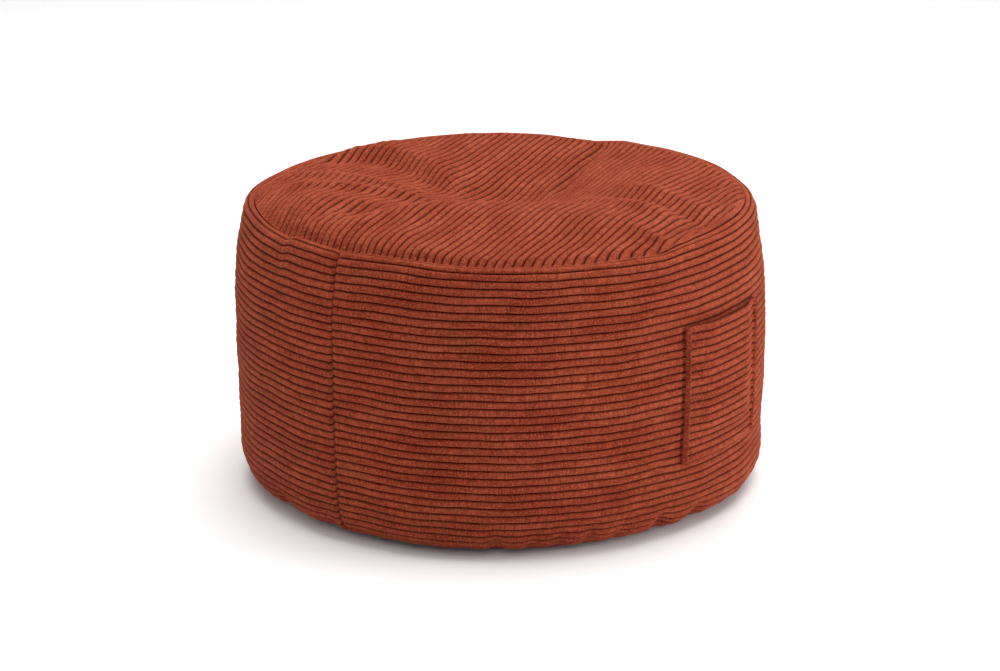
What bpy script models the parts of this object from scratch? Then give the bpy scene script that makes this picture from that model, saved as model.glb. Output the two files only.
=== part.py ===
"""Round bean bag footstool in wide-wale corduroy.

Four sewn panels, each its own solid: the crowned top, the side wall with the
filled body behind it, the flat base and a patch pocket with an open mouth.
Metres, +Z up. The origin is the middle of the base, on the surface that the
stool stands on, and -Y runs through the middle of the pocket.

A bearing is an angle round the stool, in degrees, from -Y towards +X.
"""

from collections import namedtuple
from math import atan2, cos, degrees, exp, hypot, pi, radians, sin, sqrt

import bmesh
import bpy

# ---------------------------------------------------------------- driving sizes

WALE_PITCH = 0.008          # from one cord rib to the next
WALE_DEPTH = 0.0018         # from the top of a rib down to its furrow
PIECE_GAP = 0.0004          # left between two panels where a seam joins them

RIM_RADIUS = 0.2512         # of the top panel, at its seam
RIM_HEIGHT = 0.3025         # of the top panel close to its seam
DIVE_WIDTH = 0.014          # of the last stretch of the top, which dives to the seam
TOP_EDGE = 0.2890           # height of the foot of the top panel's edge, behind the wall's lip
LIP_FOOT = 0.2860           # height of the foot of the lip's inner side
DISH_RADIUS = 0.235         # of the hollow in the drum, which the top panel fills
DISH_FLOOR = 0.264
WALE_BEARING = 26.0         # of the top's ribs, from the viewing side's line of sight
VIEW_BEARING = -54.7        # of the side with the wall's seam on its left and the pocket on its right

BASE_RADIUS = 0.2320
BASE_THICKNESS = 0.003

SEAM_BEARING = -91.5        # of the upright seam that closes the wall
SEAM_DEPTH = 0.0025
SEAM_HALF_ANGLE = 0.7
WALL_STEPS = 48             # round the wall

POCKET_WIDTH = 0.128
POCKET_FIRST_RIB = 11       # of the wall's ribs, level with the pocket's mouth
POCKET_RIBS = 18
POCKET_CLOTH = 0.0030
POCKET_GAPE = 0.0070        # clear space behind the mouth's middle
POCKET_HEM = 0.007          # width of the turned edges, which meet the wall

# The wall's section, from the seam at the top to the seam at the base.
Section = namedtuple("Section", "radius height")
WALL_SECTIONS = (
    Section(0.2527, 0.2950),
    Section(0.2536, 0.2972),
    Section(0.2566, 0.2984),
    Section(0.2616, 0.2968),
    Section(0.2664, 0.2900),
    Section(0.2697, 0.2780),
    Section(0.2722, 0.2610),
    Section(0.2738, 0.2360),
    Section(0.2750, 0.1960),
    Section(0.2750, 0.1560),
    Section(0.2742, 0.1260),
    Section(0.2733, 0.0960),
    Section(0.2717, 0.0660),
    Section(0.2688, 0.0380),
    Section(0.2634, 0.0200),
    Section(0.2550, 0.0104),
    Section(0.2440, 0.0056),
    Section(0.2345, 0.0036),
)

# How far the top seam stands above its plain ring, and how far the top dives down
# to it. The bearing is from the viewing side, and both are in millimetres.
SeamPlace = namedtuple("SeamPlace", "bearing rise dive")
SEAM_PLACES = (
    SeamPlace(-180, 5.0, 5.0),
    SeamPlace(-160, 3.5, 5.0),
    SeamPlace(-140, 0.5, 5.0),
    SeamPlace(-110, -1.0, 5.0),
    SeamPlace(-90, 2.5, 5.0),
    SeamPlace(-74, 3.0, 5.0),
    SeamPlace(-62, 1.0, 5.5),
    SeamPlace(-54, -0.5, 6.0),
    SeamPlace(-48, 3.5, 6.5),
    SeamPlace(-44, 3.0, 8.0),
    SeamPlace(-37, 1.5, 8.5),
    SeamPlace(-29, 3.5, 8.5),
    SeamPlace(-20, 3.5, 8.0),
    SeamPlace(-13, 1.5, 7.0),
    SeamPlace(-7, 0.0, 6.5),
    SeamPlace(10, -0.5, 6.0),
    SeamPlace(30, -0.5, 5.5),
    SeamPlace(38, -2.0, 5.0),
    SeamPlace(42, 0.5, 4.0),
    SeamPlace(50, 2.5, 3.5),
    SeamPlace(75, 3.5, 3.0),
    SeamPlace(105, 2.5, 3.0),
    SeamPlace(122, 5.5, 3.5),
    SeamPlace(148, 5.0, 4.5),
    SeamPlace(156, 0.5, 5.0),
    SeamPlace(168, 3.5, 5.0),
    SeamPlace(180, 5.0, 5.0),
)

# Where the filling leans out against the wall, or leaves it slack. The bearing and
# its half width are in degrees from the viewing side, the rest in millimetres.
Bulge = namedtuple("Bulge", "name bearing half_width height half_height rise")
BULGES = (
    Bulge("low right side", 106, 24, 104, 64, 7.2),
    Bulge("right shoulder", 92, 40, 274, 30, -3.5),
    Bulge("left shoulder", -92, 36, 278, 26, -2.5),
    Bulge("right foot", 82, 24, 26, 26, 7.0),
    Bulge("left foot", -88, 30, 36, 30, 3.0),
)

# Where the filling swells or sinks under the top, in the viewer's plan and in
# millimetres: x to the right and y away from the viewer. Each is an oval round
# x, y whose length lies at turn degrees to the x axis; right and left are its
# half widths, and rise is below zero in a hollow.
Swell = namedtuple("Swell", "name x y half_length right left turn rise")
SWELLS = (
    Swell("middle hollow", 15, 45, 86, 75, 75, 0, -23),
    Swell("back hollow", 50, 145, 100, 60, 60, 0, -6),
    Swell("left shoulder", -190, -60, 82, 80, 38, 97, 16),
    Swell("right bank", 148, 25, 92, 50, 66, 85, 11),
    Swell("front bank", -5, -88, 150, 100, 30, 0, 15),
    Swell("front left puff", -120, -185, 70, 22, 40, -35, 4),
    Swell("slack right front", 200, -115, 65, 38, 38, 55, -4),
)

# Creases of the top in the same plan. Each runs from start past bend to end;
# right and left are its half widths on either side of that way.
Fold = namedtuple("Fold", "name start bend end right left rise")
FOLDS = (
    Fold("front left ridge", (-98, -215), (-88, -150), (-78, -90), 16, 16, 3),
    Fold("left front furrow", (-150, -150), (-120, -105), (-75, -30), 16, 16, -6),
    Fold("left crest", (-245, -28), (-170, -40), (-85, -35), 14, 14, 4),
    Fold("left back crest", (-245, 75), (-175, 85), (-110, 30), 16, 12, 4),
    Fold("back left furrow", (-145, 205), (-92, 125), (-58, 0), 40, 12, -8),
    Fold("back mound's edge", (-118, 214), (-68, 128), (-38, 20), 10, 30, 6),
    Fold("right crest", (60, 45), (150, -15), (215, -60), 22, 24, 2),
    Fold("right furrow", (90, -30), (150, -55), (205, -95), 14, 14, -2),
    Fold("back notch", (125, 228), (88, 150), (58, 40), 14, 14, -5),
)


# ---------------------------------------------------------------- shared shapes

def point_at(bearing, radius, height):
    """A point of the stool by its bearing, in degrees, its radius and height."""
    turn = radians(bearing)
    return (radius * sin(turn), -radius * cos(turn), height)


def smooth_step(value):
    """0 up to value 0, 1 from value 1, and an S between them."""
    value = min(1.0, max(0.0, value))
    return value * value * (3 - 2 * value)


def from_view(bearing):
    """A bearing counted from the viewing side, between -180 and 180."""
    return (bearing - VIEW_BEARING + 180) % 360 - 180


def rim_place(bearing):
    """How far the top seam stands above its plain ring here, and how far the top dives to it."""
    place = from_view(bearing)
    for before, after in zip(SEAM_PLACES, SEAM_PLACES[1:]):
        if place <= after.bearing:
            break
    share = (place - before.bearing) / (after.bearing - before.bearing)
    rise = before.rise + (after.rise - before.rise) * share
    return rise / 1000, (before.dive + (after.dive - before.dive) * share) / 1000


def bulge_rise(bearing, height):
    """How far the wall leans out at a bearing and a height, in metres."""
    total = 0.0
    for bulge in BULGES:
        gap = ((from_view(bearing) - bulge.bearing + 180) % 360 - 180) / bulge.half_width
        level = (height * 1000 - bulge.height) / bulge.half_height
        total += bulge.rise / 1000 * exp(-gap * gap - level * level)
    return total


def swell_rise(x, y):
    """Height of all the swells at a place of the viewer's plan, in metres."""
    total = 0.0
    for swell in SWELLS:
        gap_x, gap_y = x * 1000 - swell.x, y * 1000 - swell.y
        turn = radians(swell.turn)
        long = (gap_x * cos(turn) + gap_y * sin(turn)) / swell.half_length
        wide = gap_y * cos(turn) - gap_x * sin(turn)
        wide /= swell.left if wide > 0 else swell.right
        total += swell.rise / 1000 * exp(-long * long - wide * wide)
    return total


def fold_way(fold, steps=40):
    """Points along a fold's way in millimetres, each with its share of the length and its heading."""
    way = []
    for step in range(steps + 1):
        t = step / steps
        x, y = ((1 - t) ** 2 * a + 2 * t * (1 - t) * b + t * t * c
                for a, b, c in zip(fold.start, fold.bend, fold.end))
        head_x, head_y = ((1 - t) * (b - a) + t * (c - b)
                          for a, b, c in zip(fold.start, fold.bend, fold.end))
        size = hypot(head_x, head_y)
        way.append((x, y, t, head_x / size, head_y / size))
    return way


FOLD_WAYS = [fold_way(fold) for fold in FOLDS]


def fold_rise(x, y):
    """Height of all the creases at a place of the viewer's plan, in metres."""
    total = 0.0
    x, y = x * 1000, y * 1000
    for fold, way in zip(FOLDS, FOLD_WAYS):
        near_x, near_y, t, head_x, head_y = min(way, key=lambda place: hypot(x - place[0], y - place[1]))
        side = head_x * (y - near_y) - head_y * (x - near_x)
        along = head_x * (x - near_x) + head_y * (y - near_y)
        across = side / (fold.left if side > 0 else fold.right)
        fade = smooth_step(t / 0.22) * smooth_step((1 - t) / 0.22)
        total += fold.rise / 1000 * fade * exp(-across ** 2 - (along / 12) ** 2)
    return total


def crown_height(x, y):
    """Height of the top's ribs at a place given in the viewer's plan."""
    radius = hypot(x, y)
    share = min(1.0, radius / RIM_RADIUS)
    bearing = degrees(atan2(x, -y)) + VIEW_BEARING
    inner = 1 - smooth_step((share - 0.92) / 0.08)
    dive = smooth_step((radius - (RIM_RADIUS - DIVE_WIDTH)) / DIVE_WIDTH)
    rim_rise, rim_dive = rim_place(bearing)
    height = RIM_HEIGHT + rim_rise * share ** 4 - rim_dive * dive ** 2
    return height + (swell_rise(x, y) + fold_rise(x, y)) * inner


def viewer_to_part(x, y):
    """The viewer's plan turned into the part's own plan."""
    turn = radians(VIEW_BEARING)
    return x * cos(turn) - y * sin(turn), x * sin(turn) + y * cos(turn)


def smooth_line(points, steps):
    """A Catmull-Rom line through the points, steps to each stretch."""
    ends = [points[0]] + list(points) + [points[-1]]
    line = []
    for before, start, end, after in zip(ends, ends[1:], ends[2:], ends[3:]):
        for step in range(steps):
            t = step / steps
            line.append([
                0.5 * (2 * b + (c - a) * t + (2 * a - 5 * b + 4 * c - d) * t * t
                       + (3 * b - a - 3 * c + d) * t ** 3)
                for a, b, c, d in zip(before, start, end, after)
            ])
    line.append(list(points[-1]))
    return line


def measured(line):
    """The length along a line at each of its points."""
    lengths = [0.0]
    for (r0, z0), (r1, z1) in zip(line, line[1:]):
        lengths.append(lengths[-1] + hypot(r1 - r0, z1 - z0))
    return lengths


WALL_LINE = smooth_line(WALL_SECTIONS, 8)
WALL_LENGTHS = measured(WALL_LINE)
WALL_CUT = WALL_LENGTHS[-1]
HALF_RIBS = 2 * round(WALL_CUT / WALE_PITCH)


def wall_section(length):
    """Radius, height and outward normal of the wall, this far down from its top seam."""
    index = 0
    while index < len(WALL_LENGTHS) - 2 and WALL_LENGTHS[index + 1] < length:
        index += 1
    (r0, z0), (r1, z1) = WALL_LINE[index], WALL_LINE[index + 1]
    span = WALL_LENGTHS[index + 1] - WALL_LENGTHS[index]
    t = (length - WALL_LENGTHS[index]) / span
    return r0 + (r1 - r0) * t, z0 + (z1 - z0) * t, (z0 - z1) / span, (r1 - r0) / span


# ---------------------------------------------------------------- Blender helpers

def clear_scene():
    for obj in list(bpy.data.objects):
        bpy.data.objects.remove(obj, do_unlink=True)


def cloth_material(name, colour):
    material = bpy.data.materials.new(name)
    material.use_nodes = True
    shader = material.node_tree.nodes["Principled BSDF"]
    shader.inputs["Base Color"].default_value = (*colour, 1)
    shader.inputs["Roughness"].default_value = 0.9
    shader.inputs["Metallic"].default_value = 0.0
    return material


def add_solid(name, points, faces, material):
    """A closed solid as an object, its faces pointing out and its ribs left crisp."""
    mesh = bpy.data.meshes.new(name)
    mesh.from_pydata(points, [], faces)
    work = bmesh.new()
    work.from_mesh(mesh)
    bmesh.ops.triangulate(work, faces=work.faces[:])
    bmesh.ops.recalc_face_normals(work, faces=work.faces[:])
    work.to_mesh(mesh)
    work.free()
    mesh.materials.append(material)
    obj = bpy.data.objects.new(name, mesh)
    bpy.context.scene.collection.objects.link(obj)
    mesh.shade_smooth()
    mesh.set_sharp_from_angle(angle=radians(30))
    return obj


def grid_faces(rows, columns, first=0, closed=False):
    """Quads between rows of points, each row with this many columns."""
    faces = []
    for row in range(rows - 1):
        for column in range(columns if closed else columns - 1):
            a = first + row * columns + column
            b = first + row * columns + (column + 1) % columns
            faces.append((a, b, b + columns, a + columns))
    return faces


# ---------------------------------------------------------------- the panels

def wall_bearings():
    """Even steps round the wall, with a narrow notch's three points at the seam."""
    step = 360 / WALL_STEPS
    even = [SEAM_BEARING + step * (index + 0.5) for index in range(WALL_STEPS)]
    return [SEAM_BEARING - SEAM_HALF_ANGLE, SEAM_BEARING, SEAM_BEARING + SEAM_HALF_ANGLE] + even


def build_wall(material):
    """The side panel, ribbed along its length, on the filled drum behind it."""
    bearings = wall_bearings()
    points = []
    for ring in range(HALF_RIBS + 1):
        length = WALL_CUT * ring / HALF_RIBS
        radius, height, normal_r, normal_z = wall_section(length)
        furrow = WALE_DEPTH if ring % 2 == 0 and 0 < ring < HALF_RIBS else 0.0
        near_rim = 1 - smooth_step(length / 0.085)
        for bearing in bearings:
            notch = SEAM_DEPTH if bearing == SEAM_BEARING and furrow == 0 and ring > 2 else 0.0
            inward = furrow + notch
            stand = bulge_rise(bearing, height) * smooth_step(length / 0.03) - inward
            wave = rim_place(bearing)[0] * near_rim
            points.append(point_at(
                bearing, radius + stand * normal_r, height + stand * normal_z + wave))
    columns = len(bearings)
    faces = grid_faces(HALF_RIBS + 1, columns, closed=True)
    faces += close_wall_top(points, bearings)
    faces += close_wall_base(points, bearings, HALF_RIBS * columns)
    return add_solid("side_wall", points, faces, material)


def close_wall_top(points, bearings):
    """The lip's inner side and the shallow dish under the top panel."""
    columns = len(bearings)
    lip = len(points)
    points.extend(point_at(bearing, WALL_SECTIONS[0].radius, LIP_FOOT) for bearing in bearings)
    inner = len(points)
    points.extend(point_at(bearing, DISH_RADIUS, DISH_FLOOR) for bearing in bearings)
    centre = len(points)
    points.append((0, 0, DISH_FLOOR))
    faces = []
    for column in range(columns):
        after = (column + 1) % columns
        faces.append((column, lip + column, lip + after, after))
        faces.append((lip + column, inner + column, inner + after, lip + after))
        faces.append((inner + column, centre, inner + after))
    return faces


def close_wall_base(points, bearings, last_ring):
    """The flat underside of the drum, which the base panel covers."""
    columns = len(bearings)
    inner = len(points)
    lift = BASE_THICKNESS + PIECE_GAP
    points.extend(point_at(bearing, BASE_RADIUS + 0.0008, lift) for bearing in bearings)
    centre = len(points)
    points.append((0, 0, lift))
    faces = []
    for column in range(columns):
        after = (column + 1) % columns
        faces.append((last_ring + column, last_ring + after, inner + after, inner + column))
        faces.append((inner + column, inner + after, centre))
    return faces


def build_top(material):
    """The crowned top, its ribs running straight across the cut cloth."""
    steps = 22
    ribs = int((RIM_RADIUS - 0.002) / (WALE_PITCH / 2))
    turn = radians(WALE_BEARING)
    offsets = [rib * WALE_PITCH / 2 for rib in range(-ribs, ribs + 1)]
    offsets = [0.0008 - RIM_RADIUS] + offsets + [RIM_RADIUS - 0.0008]
    points = []
    for row, offset in enumerate(offsets):
        half = sqrt(RIM_RADIUS ** 2 - offset ** 2)
        furrow = WALE_DEPTH if row % 2 == 0 else 0.0
        for step in range(steps + 1):
            along = -half * cos(pi * step / steps)
            x = offset * cos(turn) + along * sin(turn)
            y = -offset * sin(turn) + along * cos(turn)
            points.append((*viewer_to_part(x, y), crown_height(x, y) - furrow))
    rows, columns = len(offsets), steps + 1
    faces = grid_faces(rows, columns)
    edge = list(range(columns))
    edge += [row * columns + steps for row in range(1, rows)]
    edge += [(rows - 1) * columns + step for step in range(steps - 1, -1, -1)]
    edge += [row * columns for row in range(rows - 2, 0, -1)]
    floor = DISH_FLOOR + PIECE_GAP
    for scale, height in ((1.0, TOP_EDGE), (0.91, floor)):
        for index in edge:
            x, y, _ = points[index]
            points.append((x * scale, y * scale, height))
    first = rows * columns
    centre = len(points)
    points.append((0, 0, floor))
    for place, index in enumerate(edge):
        after = (place + 1) % len(edge)
        middle, inner = first, first + len(edge)
        faces.append((index, edge[after], middle + after, middle + place))
        faces.append((middle + place, middle + after, inner + after, inner + place))
        faces.append((inner + place, inner + after, centre))
    return add_solid("top_panel", points, faces, material)


def build_base(material):
    """The flat round base, its edge rounded up into the seam."""
    steps = 60
    rings = [
        (BASE_RADIUS - 0.002, 0.0),
        (BASE_RADIUS, 0.001),
        (BASE_RADIUS, BASE_THICKNESS),
    ]
    points = [point_at(360 * s / steps, radius, height) for radius, height in rings for s in range(steps)]
    faces = grid_faces(len(rings), steps, closed=True)
    faces.append(tuple(range(steps)))
    last = (len(rings) - 1) * steps
    faces.append(tuple(range(last, last + steps)))
    return add_solid("base_panel", points, faces, material)


def pocket_inner(side, share, radius):
    """Radius of the pocket's inner face, by share of its half width and of its depth from the mouth."""
    hem = POCKET_HEM / (POCKET_WIDTH / 2)
    open_down = smooth_step((1 - share - hem) / 0.16)
    open_across = smooth_step((1 - hem - abs(side)) / 0.42)
    widest = max(section.radius for section in WALL_SECTIONS)
    return radius + PIECE_GAP + (POCKET_GAPE + widest - radius) * open_down * open_across


def build_pocket(material):
    """The patch pocket: ribbed cloth, closed at its sides and foot, open at its mouth."""
    columns = 12
    rows = 2 * POCKET_RIBS
    points = []
    for back in (False, True):
        for row in range(rows + 1):
            length = WALL_CUT * (2 * POCKET_FIRST_RIB + row) / HALF_RIBS
            radius, height, _, _ = wall_section(length)
            for column in range(columns + 1):
                side = -cos(pi * column / columns)
                bearing = degrees(side * POCKET_WIDTH / 2 / radius)
                stand = pocket_inner(side, row / rows, radius) + bulge_rise(bearing, height)
                if not back:
                    furrow = WALE_DEPTH if row % 2 == 0 else 0.0
                    hem = smooth_step((abs(side) - 0.88) / 0.12)
                    stand += POCKET_CLOTH + 0.001 * hem - furrow * (1 - hem)
                points.append(point_at(bearing, stand, height))
    width = columns + 1
    per_face = (rows + 1) * width
    faces = grid_faces(rows + 1, width) + grid_faces(rows + 1, width, first=per_face)
    edge = list(range(width))
    edge += [row * width + columns for row in range(1, rows + 1)]
    edge += [rows * width + column for column in range(columns - 1, -1, -1)]
    edge += [row * width for row in range(rows - 1, 0, -1)]
    for place, index in enumerate(edge):
        after = edge[(place + 1) % len(edge)]
        faces.append((index, after, per_face + after, per_face + index))
    return add_solid("pocket", points, faces, material)


def main():
    clear_scene()
    corduroy = cloth_material("rust_corduroy", (0.33, 0.075, 0.035))
    base_cloth = cloth_material("rust_base_cloth", (0.22, 0.055, 0.028))
    build_wall(corduroy)
    build_top(corduroy)
    build_base(base_cloth)
    build_pocket(corduroy)


main()
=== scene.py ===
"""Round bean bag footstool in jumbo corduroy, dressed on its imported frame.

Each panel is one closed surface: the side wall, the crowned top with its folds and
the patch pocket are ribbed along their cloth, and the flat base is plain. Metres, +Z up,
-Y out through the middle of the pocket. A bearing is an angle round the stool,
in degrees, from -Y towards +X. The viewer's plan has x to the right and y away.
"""

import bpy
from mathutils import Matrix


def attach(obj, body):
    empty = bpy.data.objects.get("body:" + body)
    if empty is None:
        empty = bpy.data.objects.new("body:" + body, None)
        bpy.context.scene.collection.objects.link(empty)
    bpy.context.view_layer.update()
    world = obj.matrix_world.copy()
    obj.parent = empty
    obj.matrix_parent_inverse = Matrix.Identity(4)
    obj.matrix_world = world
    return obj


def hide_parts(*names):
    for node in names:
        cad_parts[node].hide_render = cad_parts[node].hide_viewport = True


bl_info = {
    "name": "Corduroy bean bag footstool",
    "version": (1, 0, 0),
    "blender": (4, 5, 0),
    "location": "View3D > Sidebar > Footstool",
    "description": "Builds the corduroy panels, the pocket and the studio of a round bean bag footstool",
    "category": "Add Mesh",
}

from collections import namedtuple
from math import cos, hypot, pi, radians, sin

import bpy
import numpy as np
from bpy.props import FloatProperty, FloatVectorProperty, IntProperty, PointerProperty, StringProperty
from mathutils import Vector

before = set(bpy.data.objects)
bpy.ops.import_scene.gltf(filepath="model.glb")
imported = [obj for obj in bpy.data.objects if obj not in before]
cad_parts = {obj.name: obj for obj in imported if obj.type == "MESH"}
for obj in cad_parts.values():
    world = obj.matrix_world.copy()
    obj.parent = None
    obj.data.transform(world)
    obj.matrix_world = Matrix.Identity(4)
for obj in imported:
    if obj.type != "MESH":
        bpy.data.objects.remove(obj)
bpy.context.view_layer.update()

VIEW_BEARING = -54.7      # bearing of the side that the camera faces
BODY = "root"

# The wall's section over its ribs, from the seam at the top to the seam at the base.
Section = namedtuple("Section", "radius height")
WALL_SECTIONS = (
    Section(0.2527, 0.2950),
    Section(0.2536, 0.2972),
    Section(0.2566, 0.2984),
    Section(0.2616, 0.2968),
    Section(0.2664, 0.2900),
    Section(0.2697, 0.2780),
    Section(0.2722, 0.2610),
    Section(0.2738, 0.2360),
    Section(0.2750, 0.1960),
    Section(0.2750, 0.1560),
    Section(0.2742, 0.1260),
    Section(0.2733, 0.0960),
    Section(0.2717, 0.0660),
    Section(0.2688, 0.0380),
    Section(0.2634, 0.0200),
    Section(0.2550, 0.0104),
    Section(0.2440, 0.0056),
    Section(0.2345, 0.0036),
)

# How far the top seam stands above its plain ring, and how far the top dives down
# to it. The bearing is from the viewing side, and both are in millimetres.
SeamPlace = namedtuple("SeamPlace", "bearing rise dive")
SEAM_PLACES = (
    SeamPlace(-180, 5.0, 5.0),
    SeamPlace(-160, 3.5, 5.0),
    SeamPlace(-140, 0.5, 5.0),
    SeamPlace(-110, -1.0, 5.0),
    SeamPlace(-90, 2.5, 5.0),
    SeamPlace(-74, 3.0, 5.0),
    SeamPlace(-62, 1.0, 5.5),
    SeamPlace(-54, -0.5, 6.0),
    SeamPlace(-51.5, 3.5, 6.5),
    SeamPlace(-44, 3.0, 8.0),
    SeamPlace(-37, 1.5, 8.5),
    SeamPlace(-29, 3.5, 8.5),
    SeamPlace(-20, 3.5, 8.0),
    SeamPlace(-13, 1.5, 7.0),
    SeamPlace(-7, 0.0, 6.5),
    SeamPlace(10, -0.5, 6.0),
    SeamPlace(30, -0.5, 5.5),
    SeamPlace(38, -2.0, 5.0),
    SeamPlace(42, 0.5, 3.5),
    SeamPlace(50, 2.5, 2.2),
    SeamPlace(62, 3.0, 1.6),
    SeamPlace(75, 3.5, 2.4),
    SeamPlace(85, 3.2, 3.5),
    SeamPlace(105, 2.5, 3.0),
    SeamPlace(122, 5.5, 3.5),
    SeamPlace(148, 5.0, 4.5),
    SeamPlace(156, 0.5, 5.0),
    SeamPlace(168, 3.5, 5.0),
    SeamPlace(180, 5.0, 5.0),
)

# Where the filling leans out against the wall, or leaves it slack. The bearing and
# its half width are in degrees from the viewing side, the rest in millimetres.
Bulge = namedtuple("Bulge", "name bearing half_width height half_height rise")
BULGES = (
    Bulge("low right side", 106, 24, 104, 64, 7.2),
    Bulge("right shoulder", 92, 40, 274, 30, -3.5),
    Bulge("left shoulder", -92, 36, 278, 26, -2.5),
    Bulge("right foot", 82, 24, 26, 26, 7.0),
    Bulge("left foot", -88, 30, 36, 30, 3.0),
)

# Where the seam at the foot gathers the wall: its bearing and half width in degrees
# from the viewing side, and its depth in millimetres.
Gather = namedtuple("Gather", "bearing half_width depth")
GATHERS = (
    Gather(-57, 2.2, 4.0),
    Gather(-40, 1.8, 2.5),
    Gather(-1, 1.5, 6.0),
    Gather(7, 1.6, 2.5),
    Gather(13, 1.6, 4.0),
    Gather(20, 1.5, 5.0),
    Gather(27, 1.8, 4.0),
    Gather(38, 2.0, 7.5),
    Gather(49, 2.2, 5.0),
)

# Where the filling swells or sinks under the top, in the viewer's plan and in
# millimetres. Each is an oval round x, y whose length lies at turn degrees to the
# x axis; right and left are its half widths, and rise is below zero in a hollow.
Swell = namedtuple("Swell", "name x y half_length right left turn rise")
SWELLS = (
    Swell("middle hollow", 15, 45, 86, 75, 75, 0, -23),
    Swell("back hollow", 50, 145, 100, 60, 60, 0, -6),
    Swell("left shoulder", -190, -60, 82, 80, 38, 97, 16),
    Swell("right bank", 148, 25, 92, 50, 66, 85, 11),
    Swell("front bank", -5, -88, 150, 100, 30, 0, 15),
    Swell("front left puff", -120, -185, 70, 22, 40, -35, 4),
    Swell("slack right front", 206, -120, 62, 36, 36, 55, -8),
    Swell("right front puff", 112, -138, 60, 40, 40, 0, 5),
)

# Creases of the top in the same plan. Each runs from start past bend to end;
# right and left are its half widths on either side of that way.
Fold = namedtuple("Fold", "name start bend end right left rise")
FOLDS = (
    Fold("front left ridge", (-98, -215), (-88, -150), (-78, -90), 12, 16, 3),
    Fold("front bank's left end", (-162, -168), (-108, -112), (-30, -86), 26, 12, 4),
    Fold("left front furrow", (-162, -132), (-114, -90), (-58, -25), 14, 20, -6),
    Fold("left crest", (-245, -30), (-160, -20), (-65, -8), 14, 14, 6),
    Fold("left back crest", (-232, 78), (-150, 62), (-72, 8), 13, 12, 5),
    Fold("back left furrow", (-215, 126), (-112, 212), (-56, 10), 28, 13, -7),
    Fold("back mound's edge", (-220, 158), (-94, 248), (-28, 20), 12, 30, 5),
    Fold("right crest", (60, -20), (130, -60), (185, -135), 13, 18, 3.5),
    Fold("second right crest", (120, 0), (170, -10), (225, -95), 12, 14, 3.5),
    Fold("right furrow", (100, -22), (155, -55), (212, -120), 10, 10, -2.5),
    Fold("back notch", (125, 228), (88, 150), (58, 40), 12, 12, -6),
    Fold("right front pucker", (128, -146), (146, -164), (160, -184), 8, 8, 2),
)

# One rib of the cloth, from furrow to furrow: share of the pitch, share of the depth.
RibPoint = namedtuple("RibPoint", "across rise")
RIB = (
    RibPoint(0.00, 0.00),
    RibPoint(0.07, 0.46),
    RibPoint(0.20, 0.84),
    RibPoint(0.50, 1.00),
    RibPoint(0.80, 0.84),
    RibPoint(0.93, 0.46),
)

# Where the panels lie at the pocket, and where they end out of sight inside the stool.
WALL_RADIUS = 0.275       # the wall's ribs at their widest
POCKET_RADIUS = 0.2745    # the wall behind the pocket
LIP_FOOT = (WALL_SECTIONS[0].radius, 0.286)     # radius and height, as in the next two
DISH = (0.235, 0.264)
BASE_CAP = (0.2328, 0.0034)
TOP_EDGE = 0.2890         # height of the foot of the top panel's edge
TOP_FLOOR = 0.2644        # height of its underside
TOP_FLOOR_SHARE = 0.91    # the underside's radius, as a share of the rim's

# How far the camera stands from the stool, how high it looks, and its rise in degrees.
CAMERA_DISTANCE = 3.2
CAMERA_AIM = 0.148
CAMERA_RISE = 17.8

# Soft lights that face the stool. The bearing is in degrees from the viewing side.
Softbox = namedtuple("Softbox", "name bearing distance height size power")
SOFTBOXES = (
    Softbox("key", 150, 0.55, 2.6, 3.2, 124),
    Softbox("front", 0, 2.1, 2.0, 1.6, 14),
    Softbox("low", 5, 2.6, 0.7, 1.2, 5),
    Softbox("right", 82, 2.2, 0.45, 0.8, 27),
    Softbox("left", -100, 2.4, 0.45, 0.8, 8),
)


# ---------------------------------------------------------------- sizes and colours

def length_prop(name, description, default):
    """A length that a maker would change, in metres."""
    return FloatProperty(
        name=name, description=description, default=default, min=0.0, unit="LENGTH", precision=4)


def colour_prop(name, description, default):
    """A colour as an sRGB hex value."""
    return StringProperty(name=name, description=description + ", as an sRGB hex value", default=default)


class StoolSizes(bpy.types.PropertyGroup):
    """Sizes that a maker would change."""

    rib_pitch: length_prop("Rib pitch", "From one cord rib to the next", 0.008)
    rib_depth: length_prop("Rib depth", "From the top of a rib to the foot of its furrow", 0.0032)
    rim_radius: length_prop("Rim radius", "Radius of the top panel at its seam", 0.2520)
    rim_height: length_prop("Rim height", "Height of the top panel close to its seam", 0.3025)
    crown_rise: length_prop("Crown rise", "Height of the top's middle over its rim", 0.0005)
    rib_bearing: FloatProperty(
        name="Rib bearing", description="The top's ribs, from the line of sight",
        default=radians(26), subtype="ANGLE")
    seam_bearing: FloatProperty(
        name="Wall seam", description="Bearing of the wall's upright seam",
        default=radians(-91.6), subtype="ANGLE")
    seam_shift: FloatProperty(
        name="Seam mismatch", description="Share of a rib by which the ribs miss each other at the seam",
        default=0.45, subtype="FACTOR")
    pocket_width: length_prop("Pocket width", "Width of the patch pocket", 0.128)
    pocket_gape: length_prop("Pocket gape", "Clear space behind the pocket's mouth", 0.0046)
    pocket_cloth: length_prop("Pocket cloth", "Thickness of the pocket's corduroy", 0.0030)
    pocket_first_rib: IntProperty(
        name="Pocket's first rib", description="The wall's rib level with its mouth", default=11)
    pocket_ribs: IntProperty(name="Pocket ribs", description="How many ribs the pocket is deep", default=18)
    base_radius: length_prop("Base radius", "Radius of the base panel", 0.2320)
    wall_steps: IntProperty(name="Wall steps", description="Mesh steps round the wall", default=380)
    top_steps: IntProperty(name="Top steps", description="Mesh steps along each rib of the top", default=245)


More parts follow.
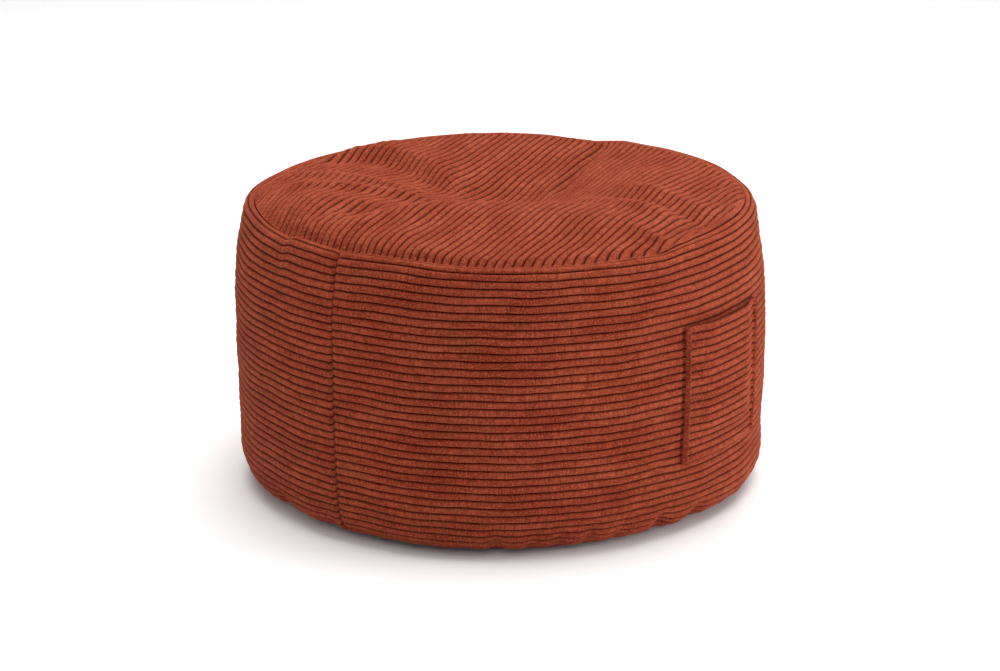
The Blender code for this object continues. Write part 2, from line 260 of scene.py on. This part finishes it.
class StoolColours(bpy.types.PropertyGroup):
    """Colours of the cloth and the studio."""

    pile: colour_prop("Pile", "The corduroy's pile, seen square on", "#84301C")
    pile_light: colour_prop("Brushed pile", "Pile brushed towards the light", "#A04A32")
    pile_dark: colour_prop("Shaded pile", "Pile brushed away from the light", "#5A1A0C")
    pile_tips: colour_prop("Tuft tips", "Pale tips of the tufts", "#BE6C4E")
    # Painted shade: the furrow colour is the woven ground darkened to near black-brown, standing in for the
    # shade down in the furrows.
    furrow: colour_prop("Furrow", "The ground cloth between the ribs", "#220502")
    sheen: colour_prop("Sheen", "Light that the tips scatter at a slant", "#E88E70")
    base: colour_prop("Base cloth", "Plain woven cloth under the stool", "#6B2A1C")
    floor: colour_prop("Floor", "The studio's pale floor", "#F4F4F4")


# ---------------------------------------------------------------- shapes

def smooth_step(value):
    """Eases from 0 to 1 as the value does, and stays there."""
    value = np.clip(value, 0.0, 1.0)
    return value * value * (3 - 2 * value)


def wave_noise(x, y, seed, scale):
    """Smooth, repeatable unevenness between about -1 and 1, with humps of about this scale."""
    rng = np.random.default_rng(seed)
    total = np.zeros_like(np.asarray(x, float) + np.asarray(y, float))
    for _ in range(6):
        turn, phase, stretch = rng.uniform(0, 2 * pi), rng.uniform(0, 2 * pi), rng.uniform(0.7, 1.5)
        total += np.sin((x * cos(turn) + y * sin(turn)) * 2 * pi * stretch / scale / 2 + phase)
    return total / 3.2


def smooth_line(points, steps):
    """A Catmull-Rom line through the points, steps to each stretch."""
    points = np.array(points, float)
    ends = np.vstack([points[:1], points, points[-1:]])
    t = (np.arange(steps) / steps)[:, None]
    line = []
    for a, b, c, d in zip(ends, ends[1:], ends[2:], ends[3:]):
        square, cube = 2 * a - 5 * b + 4 * c - d, 3 * b - a - 3 * c + d
        line.append(0.5 * (2 * b + (c - a) * t + square * t ** 2 + cube * t ** 3))
    return np.vstack(line + [points[-1:]])


WALL_LINE = smooth_line(WALL_SECTIONS, 24)
WALL_LENGTHS = np.concatenate([[0.0], np.cumsum(np.hypot(*np.diff(WALL_LINE, axis=0).T))])
WALL_CUT = float(WALL_LENGTHS[-1])


def wall_place(length):
    """Radius and height of the wall at lengths down from its top seam."""
    return tuple(np.interp(length, WALL_LENGTHS, WALL_LINE[:, column]) for column in (0, 1))


def wall_section(length):
    """Radius, height and outward normal of the wall at lengths down from its top seam."""
    radius, height = wall_place(length)
    step = 0.0015
    radius_ahead, height_ahead = wall_place(np.clip(length + step, 0, WALL_CUT))
    radius_behind, height_behind = wall_place(np.clip(length - step, 0, WALL_CUT))
    along_r, along_z = radius_ahead - radius_behind, height_ahead - height_behind
    size = np.hypot(along_r, along_z)
    return radius, height, -along_z / size, along_r / size


def from_view(bearing):
    """Bearings as counted from the viewing side, between -180 and 180 degrees."""
    return (np.asarray(bearing) - VIEW_BEARING + 180) % 360 - 180


def seam_wave(bearing, column=1):
    """How far the top seam stands above its plain ring or, in column 2, how far the top dives to it."""
    places = np.array(SEAM_PLACES)
    return np.interp(from_view(bearing), places[:, 0], places[:, column]) / 1000


def bulge_rise(bearing, height):
    """How far the wall leans out at these bearings and heights, in metres."""
    place = from_view(bearing)
    total = 0 * place + 0 * height
    for bulge in BULGES:
        gap = (place - bulge.bearing + 180) % 360 - 180
        level = (height * 1000 - bulge.height) / bulge.half_height
        total += bulge.rise / 1000 * np.exp(-(gap / bulge.half_width) ** 2 - level ** 2)
    return total


def gather_depth(bearing):
    """How far the gathers at the foot draw the wall in at these bearings, in metres."""
    place = from_view(bearing)
    return sum(g.depth / 1000 * np.exp(-((place - g.bearing) / g.half_width) ** 2) for g in GATHERS)


def points_at(bearing, radius, height):
    """Points at these bearings, radii and heights."""
    turn = np.radians(bearing)
    return np.stack([radius * np.sin(turn), -radius * np.cos(turn), height], axis=-1)


def viewer_to_part(x, y):
    """Places of the viewer's plan as the stool's own x and y."""
    turn = radians(VIEW_BEARING)
    return x * cos(turn) - y * sin(turn), x * sin(turn) + y * cos(turn)


def swell_rise(x, y):
    """Height of all the swells at places of the viewer's plan, in metres."""
    total = np.zeros_like(x)
    for swell in SWELLS:
        gap_x, gap_y = x * 1000 - swell.x, y * 1000 - swell.y
        turn = radians(swell.turn)
        long = (gap_x * cos(turn) + gap_y * sin(turn)) / swell.half_length
        wide = gap_y * cos(turn) - gap_x * sin(turn)
        wide = wide / np.where(wide > 0, swell.left, swell.right)
        total += swell.rise / 1000 * np.exp(-long ** 2 - wide ** 2)
    return total


def fold_rise(x, y):
    """Height of all the folds at places of the viewer's plan, in metres."""
    total = np.zeros_like(x)
    t = np.linspace(0, 1, 41)
    fade = smooth_step(t / 0.22) * smooth_step((1 - t) / 0.22)
    for fold in FOLDS:
        start, bend, end = (np.array(place) / 1000 for place in (fold.start, fold.bend, fold.end))
        way = ((1 - t) ** 2)[:, None] * start + (2 * t * (1 - t))[:, None] * bend + (t ** 2)[:, None] * end
        heading = np.gradient(way, axis=0)
        heading /= np.linalg.norm(heading, axis=1)[:, None]
        gap_x = x[..., None] - way[:, 0]
        gap_y = y[..., None] - way[:, 1]
        near = (gap_x ** 2 + gap_y ** 2).argmin(axis=-1)
        gap_x, gap_y = x - way[near, 0], y - way[near, 1]
        side = heading[near, 0] * gap_y - heading[near, 1] * gap_x
        along = heading[near, 0] * gap_x + heading[near, 1] * gap_y
        width = np.where(side > 0, fold.left, fold.right) / 1000
        total += fold.rise / 1000 * fade[near] * np.exp(-(side / width) ** 2 - (along / 0.012) ** 2)
    return total


def crown_height(x, y, sizes):
    """Height over the ribs of the top at places of the viewer's plan."""
    radius = np.hypot(x, y)
    share = radius / sizes.rim_radius
    bearing = np.degrees(np.arctan2(x, -y)) + VIEW_BEARING
    dive_width = 0.014
    dive = smooth_step((radius - (sizes.rim_radius - dive_width)) / dive_width)
    inside = 1 - smooth_step((share - 0.92) / 0.08)
    gathers = 0.0008 * wave_noise(np.radians(bearing) * 0.25, 0 * x, 5, 0.016)
    gathers = gathers * smooth_step((share - 0.84) / 0.1)
    height = sizes.rim_height + seam_wave(bearing) * share ** 4 - seam_wave(bearing, 2) * dive ** 2
    height += sizes.crown_rise * (1 - share ** 2) * 1.3 + gathers * (1 - dive)
    return height + (swell_rise(x, y) + fold_rise(x, y) + 0.0006 * wave_noise(x, y, 3, 0.05)) * inside


def rib_share(across):
    """Height of a rib's section, as a share of its depth, at places counted in ribs."""
    table = np.array([*RIB, RibPoint(1.0, 0.0)])
    return np.interp(np.mod(across, 1.0), table[:, 0], table[:, 1])


def rib_rows(count):
    """Places of the mesh's rows across this many ribs, counted in ribs."""
    return np.array([rib + point.across for rib in range(count) for point in RIB] + [float(count)])


# ---------------------------------------------------------------- Blender helpers

def linear(hex_value):
    """An sRGB hex value as linear RGBA."""
    parts = [int(hex_value[i:i + 2], 16) / 255 for i in (1, 3, 5)]
    return (*(c / 12.92 if c <= 0.04045 else ((c + 0.055) / 1.055) ** 2.4 for c in parts), 1.0)


def add_node(tree, kind, links=None, **settings):
    """Adds a node. Settings name its attributes or, as in Base_Color, its sockets; links name sources."""
    node = tree.nodes.new(kind)
    for key, value in settings.items():
        if hasattr(node, key):
            setattr(node, key, value)
        else:
            node.inputs[key.replace("_", " ")].default_value = value
    for key, source in (links or {}).items():
        tree.links.new(source, node.inputs[key])
    return node


def grid_faces(rows, columns, closed=False):
    """Quads between rows of points, as an array of corner numbers."""
    row = np.arange(rows - 1)[:, None] * columns
    column = np.arange(columns if closed else columns - 1)[None, :]
    after = (column + 1) % columns
    quads = np.stack([row + column, row + after, row + columns + after, row + columns + column], axis=-1)
    return quads.reshape(-1, 4)


def grid_edge(rows, columns):
    """The corner numbers round the edge of a grid of points."""
    grid = np.arange(rows * columns).reshape(rows, columns)
    return np.concatenate([grid[0], grid[1:, -1], grid[-1, -2::-1], grid[-2:0:-1, 0]])


def ring_faces(upper, lower):
    """Quads between two rings of corner numbers."""
    return np.stack([upper, np.roll(upper, -1), np.roll(lower, -1), lower], axis=-1).tolist()


def close_ring(points, faces, first, bearing, rings, flip):
    """Closes the ring of points that starts at first with further rings and a lid."""
    columns = len(bearing)
    here = np.arange(columns)
    after = (here + 1) % columns
    turn = -1 if flip else 1
    for radius, height in rings:
        ring = len(points)
        points = np.vstack([points, points_at(bearing, np.full(columns, radius), np.full(columns, height))])
        sides = np.stack([first + here, ring + here, ring + after, first + after], axis=-1)
        faces += sides[:, ::turn].tolist()
        first = ring
    points = np.vstack([points, [[0, 0, height]]])
    lid = np.stack([first + here, np.full(columns, first + columns), first + after], axis=-1)
    faces += lid[:, ::turn].tolist()
    return points


def add_piece(name, node, points, faces, cloth, material):
    """A closed piece that stands for a frame node, with its first points' cloth places as an attribute."""
    cloth = np.vstack([cloth, np.zeros((len(points) - len(cloth), 3))])
    mesh = bpy.data.meshes.new(name)
    mesh.from_pydata(points.tolist(), [], [tuple(face) for face in faces])
    mesh.validate()
    # The attribute's third part is the rib's height share, by which the material paints shade into the
    # furrows.
    store = mesh.attributes.new("cloth", "FLOAT_VECTOR", "POINT")
    store.data.foreach_set("vector", np.asarray(cloth, np.float32).ravel())
    mesh.materials.append(material)
    mesh.shade_smooth()
    piece = bpy.data.objects.new(name, mesh)
    bpy.context.scene.collection.objects.link(piece)
    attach(piece, BODY)
    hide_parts(node)
    return piece


# ---------------------------------------------------------------- materials

def cloth_noise(tree, place, along, across, low=0.36, high=0.64):
    """Noise on the cloth from 0 to 1, with this many grains a metre along and across its ribs."""
    spot = add_node(tree, "ShaderNodeMapping", {"Vector": place}, Scale=(along, across, 0.0))
    noise = add_node(tree, "ShaderNodeTexNoise", {"Vector": spot.outputs[0]},
                     Scale=1.0, Detail=3.0, Roughness=0.6)
    spread = add_node(tree, "ShaderNodeMapRange", {"Value": noise.outputs["Fac"]},
                      From_Min=low, From_Max=high)
    return spread.outputs[0]


def mix_colours(tree, share, low, high):
    """Mixes two colours, each a linear value or an output, by an output's share."""
    node = add_node(tree, "ShaderNodeMix", {0: share}, data_type="RGBA")
    for number, colour in ((6, low), (7, high)):
        if isinstance(colour, tuple):
            node.inputs[number].default_value = colour
        else:
            tree.links.new(colour, node.inputs[number])
    return node.outputs[2]


def scaled(tree, value, factor):
    """An output times a fixed factor."""
    node = add_node(tree, "ShaderNodeMath", {0: value}, operation="MULTIPLY")
    node.inputs[1].default_value = factor
    return node.outputs[0]


def corduroy_material(name, colours):
    """Jumbo corduroy: cut cotton pile in rounded ribs on a woven ground.

    To the eye it is matt and deep, paler where the pile is brushed, speckled along
    each rib where the tufts part, and darker down in the furrows, where the woven ground
    shows and where shade is painted in: the colour runs to near black-brown as the rib's height falls.
    """
    material = bpy.data.materials.new(name)
    material.use_nodes = True
    tree = material.node_tree
    tree.nodes.clear()
    place = add_node(tree, "ShaderNodeAttribute", attribute_name="cloth").outputs["Vector"]
    depth = add_node(tree, "ShaderNodeSeparateXYZ", {"Vector": place}).outputs["Z"]

    patches = cloth_noise(tree, place, 14.0, 34.0, 0.34, 0.66)
    smudges = cloth_noise(tree, place, 110.0, 260.0)
    streaks = cloth_noise(tree, place, 420.0, 70.0, 0.42, 0.64)
    tufts = cloth_noise(tree, place, 640.0, 760.0, 0.52, 0.66)
    pits = cloth_noise(tree, place, 680.0, 820.0, 0.44, 0.32)
    nap = mix_colours(tree, patches, linear(colours.pile), linear(colours.pile_light))
    nap = mix_colours(tree, scaled(tree, smudges, 0.5), nap, linear(colours.pile_dark))
    nap = mix_colours(tree, scaled(tree, streaks, 0.55), nap, linear(colours.pile_dark))
    nap = mix_colours(tree, scaled(tree, pits, 0.5), nap, linear(colours.furrow))
    nap = mix_colours(tree, scaled(tree, tufts, 0.5), nap, linear(colours.pile_tips))
    # Painted shade: the rib's height share, the attribute's third part, mixes the colour down to the
    # near-black furrow colour on each rib's sides and in its furrows.
    deep = add_node(tree, "ShaderNodeMapRange", {"Value": depth}, From_Min=0.12, From_Max=0.84).outputs[0]
    ribbed = mix_colours(tree, deep, linear(colours.furrow), nap)

    pile = add_node(tree, "ShaderNodeMath", {0: tufts, 1: smudges}, operation="ADD").outputs[0]
    pile = add_node(tree, "ShaderNodeMath", {0: pile, 1: streaks}, operation="SUBTRACT").outputs[0]
    bump = add_node(tree, "ShaderNodeBump", {"Height": pile}, Strength=0.65, Distance=0.0003)
    shader = add_node(tree, "ShaderNodeBsdfPrincipled", {"Base Color": ribbed, "Normal": bump.outputs[0]},
                      Roughness=0.92, Specular_IOR_Level=0.05, Sheen_Weight=0.20, Sheen_Roughness=0.45,
                      Sheen_Tint=linear(colours.sheen))
    add_node(tree, "ShaderNodeOutputMaterial", {"Surface": shader.outputs[0]})
    return material


def base_material(colours):
    """Plain-woven cotton twill for the underside: flat, dull and hard-wearing."""
    material = bpy.data.materials.new("woven_cotton_base")
    material.use_nodes = True
    tree = material.node_tree
    shader = tree.nodes["Principled BSDF"]
    shader.inputs["Base Color"].default_value = linear(colours.base)
    shader.inputs["Roughness"].default_value = 0.9
    coords = add_node(tree, "ShaderNodeTexCoord")
    weave_map = add_node(tree, "ShaderNodeMapping", {"Vector": coords.outputs["Object"]},
                         Scale=(900.0, 900.0, 900.0))
    weave = add_node(tree, "ShaderNodeTexChecker", {"Vector": weave_map.outputs[0]}, Scale=1.0)
    bump = add_node(tree, "ShaderNodeBump", {"Height": weave.outputs["Fac"]}, Strength=0.3, Distance=0.0004)
    tree.links.new(bump.outputs[0], shader.inputs["Normal"])
    return material


# ---------------------------------------------------------------- the panels

class StoolOperator(bpy.types.Operator):
    """One piece of the footstool."""

    bl_options = {"REGISTER", "UNDO"}

    @staticmethod
    def settings(context):
        """The sizes and the colours that the pieces share."""
        return context.scene.stool_sizes, context.scene.stool_colours


class STOOL_OT_side_wall(StoolOperator):
    """Builds the side wall: one long ribbed strip, closed by an upright seam"""

    bl_idname = "stool.side_wall"
    bl_label = "Side wall"

    @staticmethod
    def half_pocket(sizes):
        """Half the angle that the pocket takes up, in degrees."""
        return np.degrees(sizes.pocket_width / 2 / POCKET_RADIUS)

    def columns(self, sizes):
        """Bearings of the mesh's columns from the upright seam, closer at it and beside the pocket."""
        seam, half_pocket = np.degrees(sizes.seam_bearing), self.half_pocket(sizes)
        beside_pocket = np.array([0.1, 0.35, 0.6, 0.85, 1.1, 1.4])
        return np.unique(np.concatenate([
            [0.0, 0.22, 0.6], np.linspace(1.2, 358.8, sizes.wall_steps - 18), [359.4, 359.78],
            -seam - half_pocket - beside_pocket, -seam + half_pocket + beside_pocket]))

    def stitch_groove_and_painted_shade(self, sizes, rows, bearing, pitch):
        """The groove that the stitches pull into the wall beside the pocket, as a share of its depth; it
        also paints the colour there darker, as shade.
        """
        mouth = sizes.pocket_first_rib * pitch
        foot = (sizes.pocket_first_rib + sizes.pocket_ribs) * pitch
        beside = np.radians(np.abs((bearing + 180) % 360 - 180) - self.half_pocket(sizes)) * POCKET_RADIUS
        groove = np.exp(-((beside - 0.0010) / 0.0011) ** 2)
        return groove * smooth_step((rows - mouth) / 0.004) * smooth_step((foot - rows) / 0.004)

    def execute(self, context):
        sizes, colours = self.settings(context)
        ribs = round(WALL_CUT / sizes.rib_pitch)
        rows = rib_rows(ribs)[:, None] / ribs * WALL_CUT
        to_foot = WALL_CUT - rows
        from_seam = self.columns(sizes)
        bearing = (np.degrees(sizes.seam_bearing) + from_seam)[None, :]
        around = np.radians(from_seam)[None, :] * WALL_RADIUS

        # The ribs miss each other at the seam and wander a little, but not at the wall's edges.
        inside = smooth_step(rows / 0.03) * smooth_step(to_foot / 0.03)
        below_lip = smooth_step(rows / 0.012) * smooth_step(to_foot / 0.012)
        drift = sizes.seam_shift * sizes.rib_pitch * (from_seam / 360 - 0.5)[None, :]
        wander = 0.0007 * wave_noise(around, rows * 0.4, 11, 0.07)
        wander = wander + 0.0004 * wave_noise(around, rows, 12, 0.025)
        length = np.clip(rows + drift * below_lip + wander * inside, 0, WALL_CUT)
        radius, height, out_r, out_z = wall_section(length)

        # What leans out: the filling's bulges and unevenness, and the puckers of the foot.
        soft = 0.0011 * wave_noise(around, rows, 15, 0.11) + 0.0005 * wave_noise(around, rows, 16, 0.035)
        soft = soft + bulge_rise(bearing, height)
        puckers = 0.0012 * wave_noise(around, rows * 0.2, 17, 0.022) * smooth_step((0.045 - to_foot) / 0.03)

        # What draws in: the furrows, the upright seam, the pocket's stitches and the gathers.
        share = rib_share(rib_rows(ribs))[:, None] + 0 * bearing
        share = np.maximum(share, 1 - smooth_step(rows / 0.003))
        painted_shade_and_groove = self.stitch_groove_and_painted_shade(sizes, rows, bearing, WALL_CUT / ribs)
        # The groove also lowers the share, so the material paints the colour there darker: painted shade
        # beside the pocket.
        share = share * (1 - 0.5 * painted_shade_and_groove)
        plump = 1 + 0.10 * wave_noise(around, rows * 3, 14, 0.03)
        notch = np.exp(-((np.minimum(from_seam, 360 - from_seam) / 0.38) ** 2))[None, :] * below_lip
        notch_depth = 0.0024 + 0.0024 * (1 - smooth_step((rows - 0.03) / 0.05))
        gathers = gather_depth(bearing) * smooth_step((0.056 - to_foot) / 0.030)
        inward = sizes.rib_depth * (1 - share * plump) + notch_depth * notch
        inward = inward + 0.0024 * painted_shade_and_groove + gathers * inside
        stand = (soft + puckers) * inside - inward

        # The upper ribs follow the rim, and the lip's inner edge rises where the top dives less.
        wave = seam_wave(bearing) * (1 - smooth_step(rows / 0.085))
        lift = np.maximum(0.0055 - seam_wave(bearing, 2), 0)
        wave = wave + lift * (1 - smooth_step(rows / 0.005))
        points = points_at(bearing, radius + stand * out_r, height + stand * out_z + wave)
        points[..., 2] = np.maximum(points[..., 2], 0.0006)

        count, columns = points.shape[:2]
        faces = grid_faces(count, columns, closed=True).tolist()
        cloth = np.stack([around + 0 * rows, length, share], axis=-1).reshape(-1, 3)
        points = close_ring(points.reshape(-1, 3), faces, 0, bearing[0], (LIP_FOOT, DISH), flip=False)
        points = close_ring(points, faces, (count - 1) * columns, bearing[0], (BASE_CAP,), flip=True)
        piece = add_piece("wall_corduroy", "side_wall", points, faces, cloth,
                          corduroy_material("jumbo_corduroy_wall", colours))
        return {"FINISHED"}


class STOOL_OT_top_panel(StoolOperator):
    """Builds the top: ribbed cloth over the filling, with its folds and its dive into the seam"""

    bl_idname = "stool.top_panel"
    bl_label = "Top panel"

    @staticmethod
    def ribbed_plan(sizes):
        """Places along and across the ribs of a round grid with rows along them, and the rows in ribs."""
        half_ribs = int(sizes.rim_radius / sizes.rib_pitch)
        across = rib_rows(2 * half_ribs) - half_ribs
        across = across[np.abs(across * sizes.rib_pitch) < sizes.rim_radius - 0.0012]
        end = (sizes.rim_radius - 0.0005) / sizes.rib_pitch
        across = np.concatenate([[-end], across, [end]])
        offset = (across * sizes.rib_pitch)[:, None]
        half = np.sqrt(sizes.rim_radius ** 2 - offset ** 2)
        along = -half * np.cos(pi * np.arange(sizes.top_steps + 1) / sizes.top_steps)[None, :]
        return along, offset, across

    def execute(self, context):
        sizes, colours = self.settings(context)
        along, offset, across = self.ribbed_plan(sizes)
        turn = sizes.rib_bearing
        x = offset * cos(turn) + along * sin(turn)
        y = -offset * sin(turn) + along * cos(turn)
        wander = 0.0005 * wave_noise(along, offset * 0.5, 21, 0.05)
        x = x + wander * cos(turn) * (np.hypot(x, y) < sizes.rim_radius - 0.004)

        step = 0.0006
        rise = crown_height(x, y, sizes)
        slope_x = (crown_height(x + step, y, sizes) - rise) / step
        slope_y = (crown_height(x, y + step, sizes) - rise) / step
        size = np.sqrt(1 + slope_x ** 2 + slope_y ** 2)

        # The furrows fill up at the rim, and sooner where they run beside it; the painted furrow shade fades
        # there with them.
        rim_gap = sizes.rim_radius - np.hypot(x, y)
        beside_rim = smooth_step((np.abs(offset) / sizes.rim_radius - 0.86) / 0.10)
        share = rib_share(across)[:, None] + 0 * along
        share = np.maximum(share, 0.6 * (1 - smooth_step(rim_gap / 0.004)))
        share = np.maximum(share, 0.85 * beside_rim * (1 - smooth_step((rim_gap - 0.003) / 0.008)))
        plump = 1 + 0.10 * wave_noise(along, offset * 3, 22, 0.03)
        inward = sizes.rib_depth * (1 - share * plump)
        sideways = inward / size * smooth_step(rim_gap / 0.006)
        part_x, part_y = viewer_to_part(x + sideways * slope_x, y + sideways * slope_y)
        points = np.stack([part_x, part_y, rise - inward / size], axis=-1)

        rows, columns = points.shape[:2]
        edge = grid_edge(rows, columns)
        number = len(edge)
        points = points.reshape(-1, 3)
        rim = points[edge]
        lower = np.column_stack([rim[:, :2], np.full(number, TOP_EDGE)])
        floor = np.column_stack([rim[:, :2] * TOP_FLOOR_SHARE, np.full(number, TOP_FLOOR)])
        lower_ring = len(points) + np.arange(number)
        floor_ring = lower_ring + number
        middle = len(points) + 2 * number
        points = np.vstack([points, lower, floor, [[0, 0, TOP_FLOOR]]])
        faces = grid_faces(rows, columns).tolist()
        faces += ring_faces(edge, lower_ring) + ring_faces(lower_ring, floor_ring)
        faces += np.stack([floor_ring, np.roll(floor_ring, -1), np.full(number, middle)], axis=-1).tolist()
        cloth = np.stack([along, offset + 0 * along, share], axis=-1).reshape(-1, 3)
        piece = add_piece("top_corduroy", "top_panel", points, faces, cloth,
                          corduroy_material("jumbo_corduroy_top", colours))
        return {"FINISHED"}


class STOOL_OT_base_panel(StoolOperator):
    """Builds the plain woven base"""

    bl_idname = "stool.base_panel"
    bl_label = "Base panel"

    def execute(self, context):
        sizes, colours = self.settings(context)
        steps = 120
        bearing = np.linspace(0, 360, steps, endpoint=False)
        rings = ((sizes.base_radius - 0.003, 0.0), (sizes.base_radius - 0.0008, 0.0006),
                 (sizes.base_radius, 0.0018), (sizes.base_radius - 0.001, 0.0030))
        points = np.vstack([points_at(bearing, np.full(steps, r), np.full(steps, z)) for r, z in rings])
        faces = grid_faces(len(rings), steps, closed=True).tolist()
        faces += [tuple(range(steps))[::-1], tuple(range(len(points) - steps, len(points)))]
        piece = add_piece("base_cloth", "base_panel", points, faces, points * 0, base_material(colours))
        return {"FINISHED"}


class STOOL_OT_pocket(StoolOperator):
    """Builds the patch pocket: ribbed cloth with turned side edges and an open mouth"""

    bl_idname = "stool.pocket"
    bl_label = "Patch pocket"

    def execute(self, context):
        sizes, colours = self.settings(context)
        ribs = round(WALL_CUT / sizes.rib_pitch)
        pitch = WALL_CUT / ribs
        half = sizes.pocket_width / 2
        steps = 110
        side = -np.cos(pi * np.arange(steps + 1) / steps)[None, :]
        across = rib_rows(sizes.pocket_ribs)
        down = (across / sizes.pocket_ribs)[:, None]
        length = (sizes.pocket_first_rib + across)[:, None] * pitch
        radius, height, _, _ = wall_section(length)
        bearing = np.degrees(side * half / radius)

        # The cloth stands off the wall at the mouth and lies on it along its hem.
        hem = 0.007 / half
        open_down = smooth_step((1 - down - hem) / 0.16)
        open_across = smooth_step((1 - hem - np.abs(side)) / 0.42)
        widest = max(section.radius for section in WALL_SECTIONS)
        gape = (sizes.pocket_gape + widest - radius) * open_down * open_across
        inner = radius + bulge_rise(bearing, height) + 0.0005 + gape

        # The turned side edges make a ridge, where the furrows fill up, and a dip inside it.
        from_edge = (1 - np.abs(side)) * half
        share = rib_share(across)[:, None] + 0 * side
        # Filling the share at the ridge also takes the painted furrow shade off it, so its colour shows
        # lighter.
        share = np.maximum(share, 0.75 * np.exp(-(from_edge / 0.0034) ** 2))
        ridge = 0.0026 * np.exp(-((from_edge - 0.0024) / 0.0020) ** 2)
        ridge -= 0.0007 * np.exp(-((from_edge - 0.0065) / 0.0016) ** 2)
        depth = sizes.rib_depth * (1 + 0.15 * np.exp(-(from_edge / 0.004) ** 2))
        thick = sizes.pocket_cloth + ridge - depth * (1 - share)
        quarter_rib = 0.25 / sizes.pocket_ribs
        for way in (from_edge / 0.0016, down / quarter_rib, (1 - down) / quarter_rib):
            thick = thick * np.sqrt(np.clip(way, 0, 1))
        outer = inner + np.maximum(thick, 0.0006 * (from_edge > 0))
        face = points_at(bearing, outer, height + 0 * side)
        back = points_at(bearing, inner - 0.0001, height + 0 * side)

        rows, columns = face.shape[:2]
        count = rows * columns
        points = np.vstack([face.reshape(-1, 3), back.reshape(-1, 3)])
        quads = grid_faces(rows, columns)
        edge = grid_edge(rows, columns)
        faces = quads[:, ::-1].tolist() + (quads + count).tolist() + ring_faces(edge, edge + count)
        cloth = np.stack([side * half + 0 * length, length + 0 * side, share], axis=-1).reshape(-1, 3)
        cloth = np.vstack([cloth, cloth])
        piece = add_piece("pocket_corduroy", "pocket", points, faces, cloth,
                          corduroy_material("jumbo_corduroy_pocket", colours))
        return {"FINISHED"}


# ---------------------------------------------------------------- the studio

def aim(obj, target):
    """Turns a camera or a light so that it looks at a place."""
    obj.rotation_euler = (Vector(target) - obj.location).to_track_quat("-Z", "Y").to_euler()


def add_softbox(name, place, size, power, target):
    """A square soft light at one place that faces another."""
    light = bpy.data.lights.new(name, "AREA")
    light.shape = "SQUARE"
    light.size = size
    light.energy = power
    obj = bpy.data.objects.new(name, light)
    obj.location = place
    aim(obj, target)
    bpy.context.scene.collection.objects.link(obj)


def paper_material(colours):
    """Matt white background paper."""
    material = bpy.data.materials.new("matt_studio_paper")
    material.use_nodes = True
    sockets = material.node_tree.nodes["Principled BSDF"].inputs
    sockets["Base Color"].default_value = linear(colours.floor)
    sockets["Roughness"].default_value = 1.0
    sockets["Specular IOR Level"].default_value = 0.0
    return material


class STOOL_OT_studio(StoolOperator):
    """Sets the pale floor, the soft lights and the camera"""

    bl_idname = "stool.studio"
    bl_label = "Studio"

    @staticmethod
    def floor(colours):
        """A wide sheet of paper, just clear of the stool's base."""
        reach, level = 12.0, -0.0004
        corners = [(x * reach, y * reach, level) for x, y in ((-1, -1), (1, -1), (1, 1), (-1, 1))]
        mesh = bpy.data.meshes.new("studio_floor")
        mesh.from_pydata(corners, [], [(0, 1, 2, 3)])
        mesh.materials.append(paper_material(colours))
        floor = bpy.data.objects.new("studio_floor", mesh)
        bpy.context.scene.collection.objects.link(floor)

    @staticmethod
    def lights(scene):
        """A weak white sky, softboxes round the stool, and others that light the far floor on every side."""
        world = bpy.data.worlds.new("studio_white")
        world.use_nodes = True
        background = world.node_tree.nodes["Background"].inputs
        background["Color"].default_value = (1, 1, 1, 1)
        background["Strength"].default_value = 0.28
        scene.world = world
        scene.view_settings.view_transform = "Standard"
        middle = (0, 0, 0.15)
        for box in SOFTBOXES:
            place = points_at(VIEW_BEARING + box.bearing, box.distance, box.height)
            add_softbox(f"softbox_{box.name}", place, box.size, box.power, middle)
        for side in (0, 90, 180, 270):
            place, target = points_at(VIEW_BEARING + side, 5.6, 3.0), points_at(VIEW_BEARING + side, 6.5, 0)
            add_softbox(f"softbox_far_floor_{side}", place, 4.0, 60, target)

    @staticmethod
    def camera(scene):
        """A long lens that looks a little down on the stool, with the pocket at its right."""
        camera = bpy.data.cameras.new("camera")
        camera.lens = 110.0
        camera.sensor_width = 36.0
        rise = radians(CAMERA_RISE)
        obj = bpy.data.objects.new("camera", camera)
        obj.location = points_at(
            VIEW_BEARING, CAMERA_DISTANCE * cos(rise), CAMERA_AIM + CAMERA_DISTANCE * sin(rise))
        aim(obj, (0, 0, CAMERA_AIM))
        scene.collection.objects.link(obj)
        scene.camera = obj

    def execute(self, context):
        self.floor(self.settings(context)[1])
        self.lights(context.scene)
        self.camera(context.scene)
        return {"FINISHED"}


PIECES = (STOOL_OT_side_wall, STOOL_OT_top_panel, STOOL_OT_base_panel, STOOL_OT_pocket, STOOL_OT_studio)


class STOOL_PT_panel(bpy.types.Panel):
    """Lists the footstool's pieces"""

    bl_idname = "STOOL_PT_panel"
    bl_label = "Bean bag footstool"
    bl_space_type = "VIEW_3D"
    bl_region_type = "UI"
    bl_category = "Footstool"

    def draw(self, context):
        for piece in PIECES:
            self.layout.operator(piece.bl_idname)
        for group in (context.scene.stool_sizes, context.scene.stool_colours):
            for name in group.__annotations__:
                self.layout.prop(group, name)


CLASSES = (StoolSizes, StoolColours, *PIECES, STOOL_PT_panel)


def register():
    for item in CLASSES:
        bpy.utils.register_class(item)
    bpy.types.Scene.stool_sizes = PointerProperty(type=StoolSizes)
    bpy.types.Scene.stool_colours = PointerProperty(type=StoolColours)


def unregister():
    del bpy.types.Scene.stool_colours
    del bpy.types.Scene.stool_sizes
    for item in reversed(CLASSES):
        bpy.utils.unregister_class(item)


def main():
    register()
    bpy.ops.stool.side_wall()
    bpy.ops.stool.top_panel()
    bpy.ops.stool.base_panel()
    bpy.ops.stool.pocket()
    bpy.ops.stool.studio()


if __name__ == "__main__":
    main()
